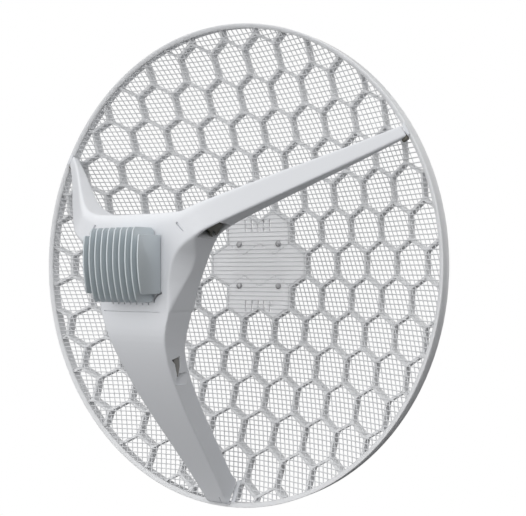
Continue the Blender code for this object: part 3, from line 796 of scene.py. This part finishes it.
def buildSinkBody():
    obj = copyOf("heatsink_base", "sinkBody")
    mergeFlat(obj)
    # its sides stay just inside the outer fins
    for v in obj.data.vertices:
        if abs(abs(v.co.x) - sink["bodyHalf"]) < sink["bodyNear"]:
            v.co.x -= math.copysign(sink["bodyInset"], v.co.x)
    mesh = edit(obj)
    start = sink["back"] - sink["bodyNear"]

    def rearCorner(edge):
        return isLevel(edge) and all(v.co.y > start and abs(v.co.z) > sink["bodyTop"] for v in edge.verts)

    pick(obj, mesh.edges, rearCorner)
    bpy.ops.mesh.bevel(offset=sink["shoulder"], segments=1, affect="EDGES")
    endEdit()
    roundEdges(obj, sink["bodyRound"])
    smooth(obj)
    return finish(obj, sinkMetal, ["heatsink_base"])


buildFins()
buildSinkBody()
endPlates = ["heatsink_end_left", "heatsink_end_right"]
dressed(endPlates, "sinkEnds", sinkMetal, sink["endRound"])


# Centre patch: plate with two groups of slits, and the pins that hold it

patch = {
    "slits": (-0.0130, -0.0065, -0.0002, 0.0058, 0.0122),
    "slitWidth": 0.0018,
    "slitRows": ((0.0287, 0.0388), (-0.0402, -0.0302)),
    # the slits' cutters start this far in front of the bowl and go right through
    "slitFrom": 0.004,
    "slitLength": 0.010,
    # zigzag groove between the rows of cells: (x, z), mirrored below
    "zigzag": ((-0.0322, 0.0186), (-0.0161, 0.0093), (0.0, 0.0186), (0.0161, 0.0093), (0.0322, 0.0186)),
    "groove": 0.0007,
    "grooveFrom": 0.002,
    "grooveDepth": 0.0006,
    # flat shading: the grooves would pull at a smooth one
    "shading": 1,
    "pinRound": 0.0003,
}


def buildPatch():
    obj = copyOf("centre_patch", "patchPlate")
    bars = []
    half = patch["slitWidth"] / 2
    for low, high in patch["slitRows"]:
        for x in patch["slits"]:
            front = dishY(x, (low + high) / 2) - patch["slitFrom"]
            outline = [(side, front, z) for side, z in oblong(x - half, x + half, low, high)]
            bars.append(prism("slitBar", outline, (0, patch["slitLength"], 0)))
    half = patch["groove"] / 2
    for way in (1, -1):
        upper = [(x, way * (z + half)) for x, z in patch["zigzag"]]
        lower = [(x, way * (z - half)) for x, z in patch["zigzag"][::-1]]
        outline = [(x, dishY(x, z) - patch["grooveFrom"], z) for x, z in upper + lower]
        bars.append(prism("zigzagBar", outline, (0, patch["grooveFrom"] + patch["grooveDepth"], 0)))
    cut(obj, bars)
    smooth(obj, patch["shading"])
    return finish(obj, patchLightenedPlastic, ["centre_patch"])


buildPatch()
for node, name in (("patch_screw_", "patchPins"), ("flange_nut_", "flangeNuts")):
    dressed([f"{node}{n}" for n in range(1, 5)], name, screwSteel, patch["pinRound"])


# Guide ribs on the dish, either side of the lower leg's foot

guides = {
    "inner": 0.0098, "outer": 0.0136, "start": 0.1765, "end": 0.1915, "steps": 5,
    "proud": 0.0007, "deep": 0.0080, "round": 0.0004,
}


def buildGuides():
    bars = []
    for side in (1, -1):
        bpy.ops.object.select_all(action="DESELECT")
        bpy.ops.mesh.primitive_grid_add(x_subdivisions=1, y_subdivisions=guides["steps"], size=1)
        obj = named("footGuide")
        for v in obj.data.vertices:
            reach = guides["start"] + (guides["end"] - guides["start"]) * (v.co.y + 0.5)
            x = side * (guides["inner"] + (guides["outer"] - guides["inner"]) * (v.co.x + 0.5))
            v.co = (x, dishY(x, reach) - guides["proud"], -reach)
        extrudeAll(obj, (0, guides["deep"], 0))
        bars.append(obj)
    obj = joined(bars, "footGuides")
    roundEdges(obj, guides["round"])
    smooth(obj)
    return finish(obj, shellPlastic)


buildGuides()


# Rear mount, feed, rim and the feet on it

# node, piece, material, width of the rounded edges and the steps in them
rearPieces = (
    ("rear_flange", "rearFlange", reflectorPlastic, 0.0006, 2),
    ("rear_stem", "rearStem", reflectorPlastic, 0.0005, 2),
    ("rear_mount_disc", "rearDisc", reflectorPlastic, 0.0004, 2),
    ("feed_body", "feedBody", shellPlastic, 0.0006, 2),
    ("feed_radome", "feedRadome", radomePlastic, 0.0008, 3),
)
# below the lower foot the lip of the rim stays in sight, so the foot's end is drawn back
rim = {"round": 0.00035, "footRound": 0.0002, "endBelow": -0.1930, "drawBack": (0, 0.0006, 0.0019)}


def buildFeet():
    nodes = ["rim_socket_left", "rim_socket_right", "rim_socket_lower"]
    obj = dressed(nodes, "rimFeet", shellPlastic, rim["footRound"])
    mesh = edit(obj, "VERT")
    pick(obj, mesh.verts, lambda v: v.co.z < rim["endBelow"])
    bpy.ops.transform.translate(value=rim["drawBack"])
    endEdit()


for node, name, material, width, steps in rearPieces:
    dressed([node], name, material, width, steps)
buildFeet()
dressed(["rim_ring"], "rimBand", reflectorPlastic, rim["round"])


# Studio: a white room that glows from above and in front, broad soft lights, the photograph's camera

studio = {
    "floorZ": -1.6,
    "floorSize": 10.0,
    "floorTone": 0.06,
    "floorRoughness": 0.9,
    "glow": {"level": 0.14, "rise": 1.7, "front": 0.74, "most": 1.05},
    # name, place, size and power
    "lights": (
        ("frontLight", (-0.2, -2.4, 0.15), 3.6, 24.0),
        ("rearFill", (0.2, 2.6, 0.5), 2.0, 16.0),
    ),
    "aim": (0, -0.1, 0),
    "camera": {
        "place": (0.46076, -0.71738, -0.00365),
        "turn": 33.757, "rise": -0.674, "roll": -0.174,
        "lens": 65.12, "sensor": 36,
    },
}


def whenSeen(tree, other, seen, surface):
    # the camera sees one shader and all other rays meet the other
    path = tree.nodes.new("ShaderNodeLightPath")
    mix = tree.nodes.new("ShaderNodeMixShader")
    tree.links.new(path.outputs["Is Camera Ray"], mix.inputs[0])
    tree.links.new(other.outputs[0], mix.inputs[1])
    tree.links.new(seen.outputs[0], mix.inputs[2])
    tree.links.new(mix.outputs[0], surface)


def buildRoom(scene):
    world = bpy.data.worlds.new("whiteRoom")
    scene.world = world
    world.use_nodes = True
    tree = world.node_tree
    backdrop = tree.nodes["Background"]
    backdrop.inputs["Color"].default_value = (1, 1, 1, 1)
    # the room glows more towards its ceiling and in front of the dish
    glow = tree.nodes.new("ShaderNodeBackground")
    glow.inputs["Color"].default_value = (1, 1, 1, 1)
    heading = tree.nodes.new("ShaderNodeTexCoord")
    split = tree.nodes.new("ShaderNodeSeparateXYZ")
    tree.links.new(heading.outputs["Generated"], split.inputs[0])
    rise = mathNode(tree, "MULTIPLY", split.outputs["Z"], studio["glow"]["rise"])
    ahead = mathNode(tree, "MULTIPLY", split.outputs["Y"], -studio["glow"]["front"])
    level = mathNode(tree, "ADD", mathNode(tree, "ADD", rise, ahead), studio["glow"]["level"])
    level = mathNode(tree, "MINIMUM", mathNode(tree, "MAXIMUM", level, 0.0), studio["glow"]["most"])
    tree.links.new(level, glow.inputs["Strength"])
    whenSeen(tree, glow, backdrop, tree.nodes["World Output"].inputs["Surface"])


def buildFloor():
    bpy.ops.object.select_all(action="DESELECT")
    bpy.ops.mesh.primitive_plane_add(size=studio["floorSize"], location=(0, 0, studio["floorZ"]))
    floor = named("floor")
    applyPlace(floor)
    material, tree, shader = newMaterial("paleFloor")
    tone = studio["floorTone"]
    shader.inputs["Base Color"].default_value = (tone, tone, tone, 1)
    shader.inputs["Roughness"].default_value = studio["floorRoughness"]
    bright = tree.nodes.new("ShaderNodeEmission")
    bright.inputs["Strength"].default_value = 1.0
    whenSeen(tree, shader, bright, tree.nodes["Material Output"].inputs["Surface"])
    floor.data.materials.append(material)


def buildLights(scene):
    target = Vector(studio["aim"])
    for name, spot, size, power in studio["lights"]:
        light = bpy.data.lights.new(name, "AREA")
        light.shape = "DISK"
        light.size = size
        light.energy = power
        lamp = bpy.data.objects.new(name, light)
        scene.collection.objects.link(lamp)
        lamp.location = spot
        lamp.rotation_euler = (Vector(spot) - target).to_track_quat("Z", "Y").to_euler()


def buildCamera(scene):
    view = studio["camera"]
    lens = bpy.data.cameras.new("photoCamera")
    lens.sensor_fit = "HORIZONTAL"
    lens.sensor_width = view["sensor"]
    lens.lens = view["lens"]
    camera = bpy.data.objects.new("photoCamera", lens)
    scene.collection.objects.link(camera)
    turn = Matrix.Rotation(math.radians(view["turn"]), 4, "Z")
    rise = Matrix.Rotation(math.radians(90 - view["rise"]), 4, "X")
    roll = Matrix.Rotation(math.radians(view["roll"]), 4, "Z")
    camera.matrix_world = Matrix.Translation(view["place"]) @ turn @ rise @ roll
    scene.camera = camera


def buildStudio():
    scene = bpy.context.scene
    scene.view_settings.view_transform = "Standard"
    scene.view_settings.look = "None"
    buildRoom(scene)
    buildFloor()
    buildLights(scene)
    buildCamera(scene)
    print("studio ready")


buildStudio()
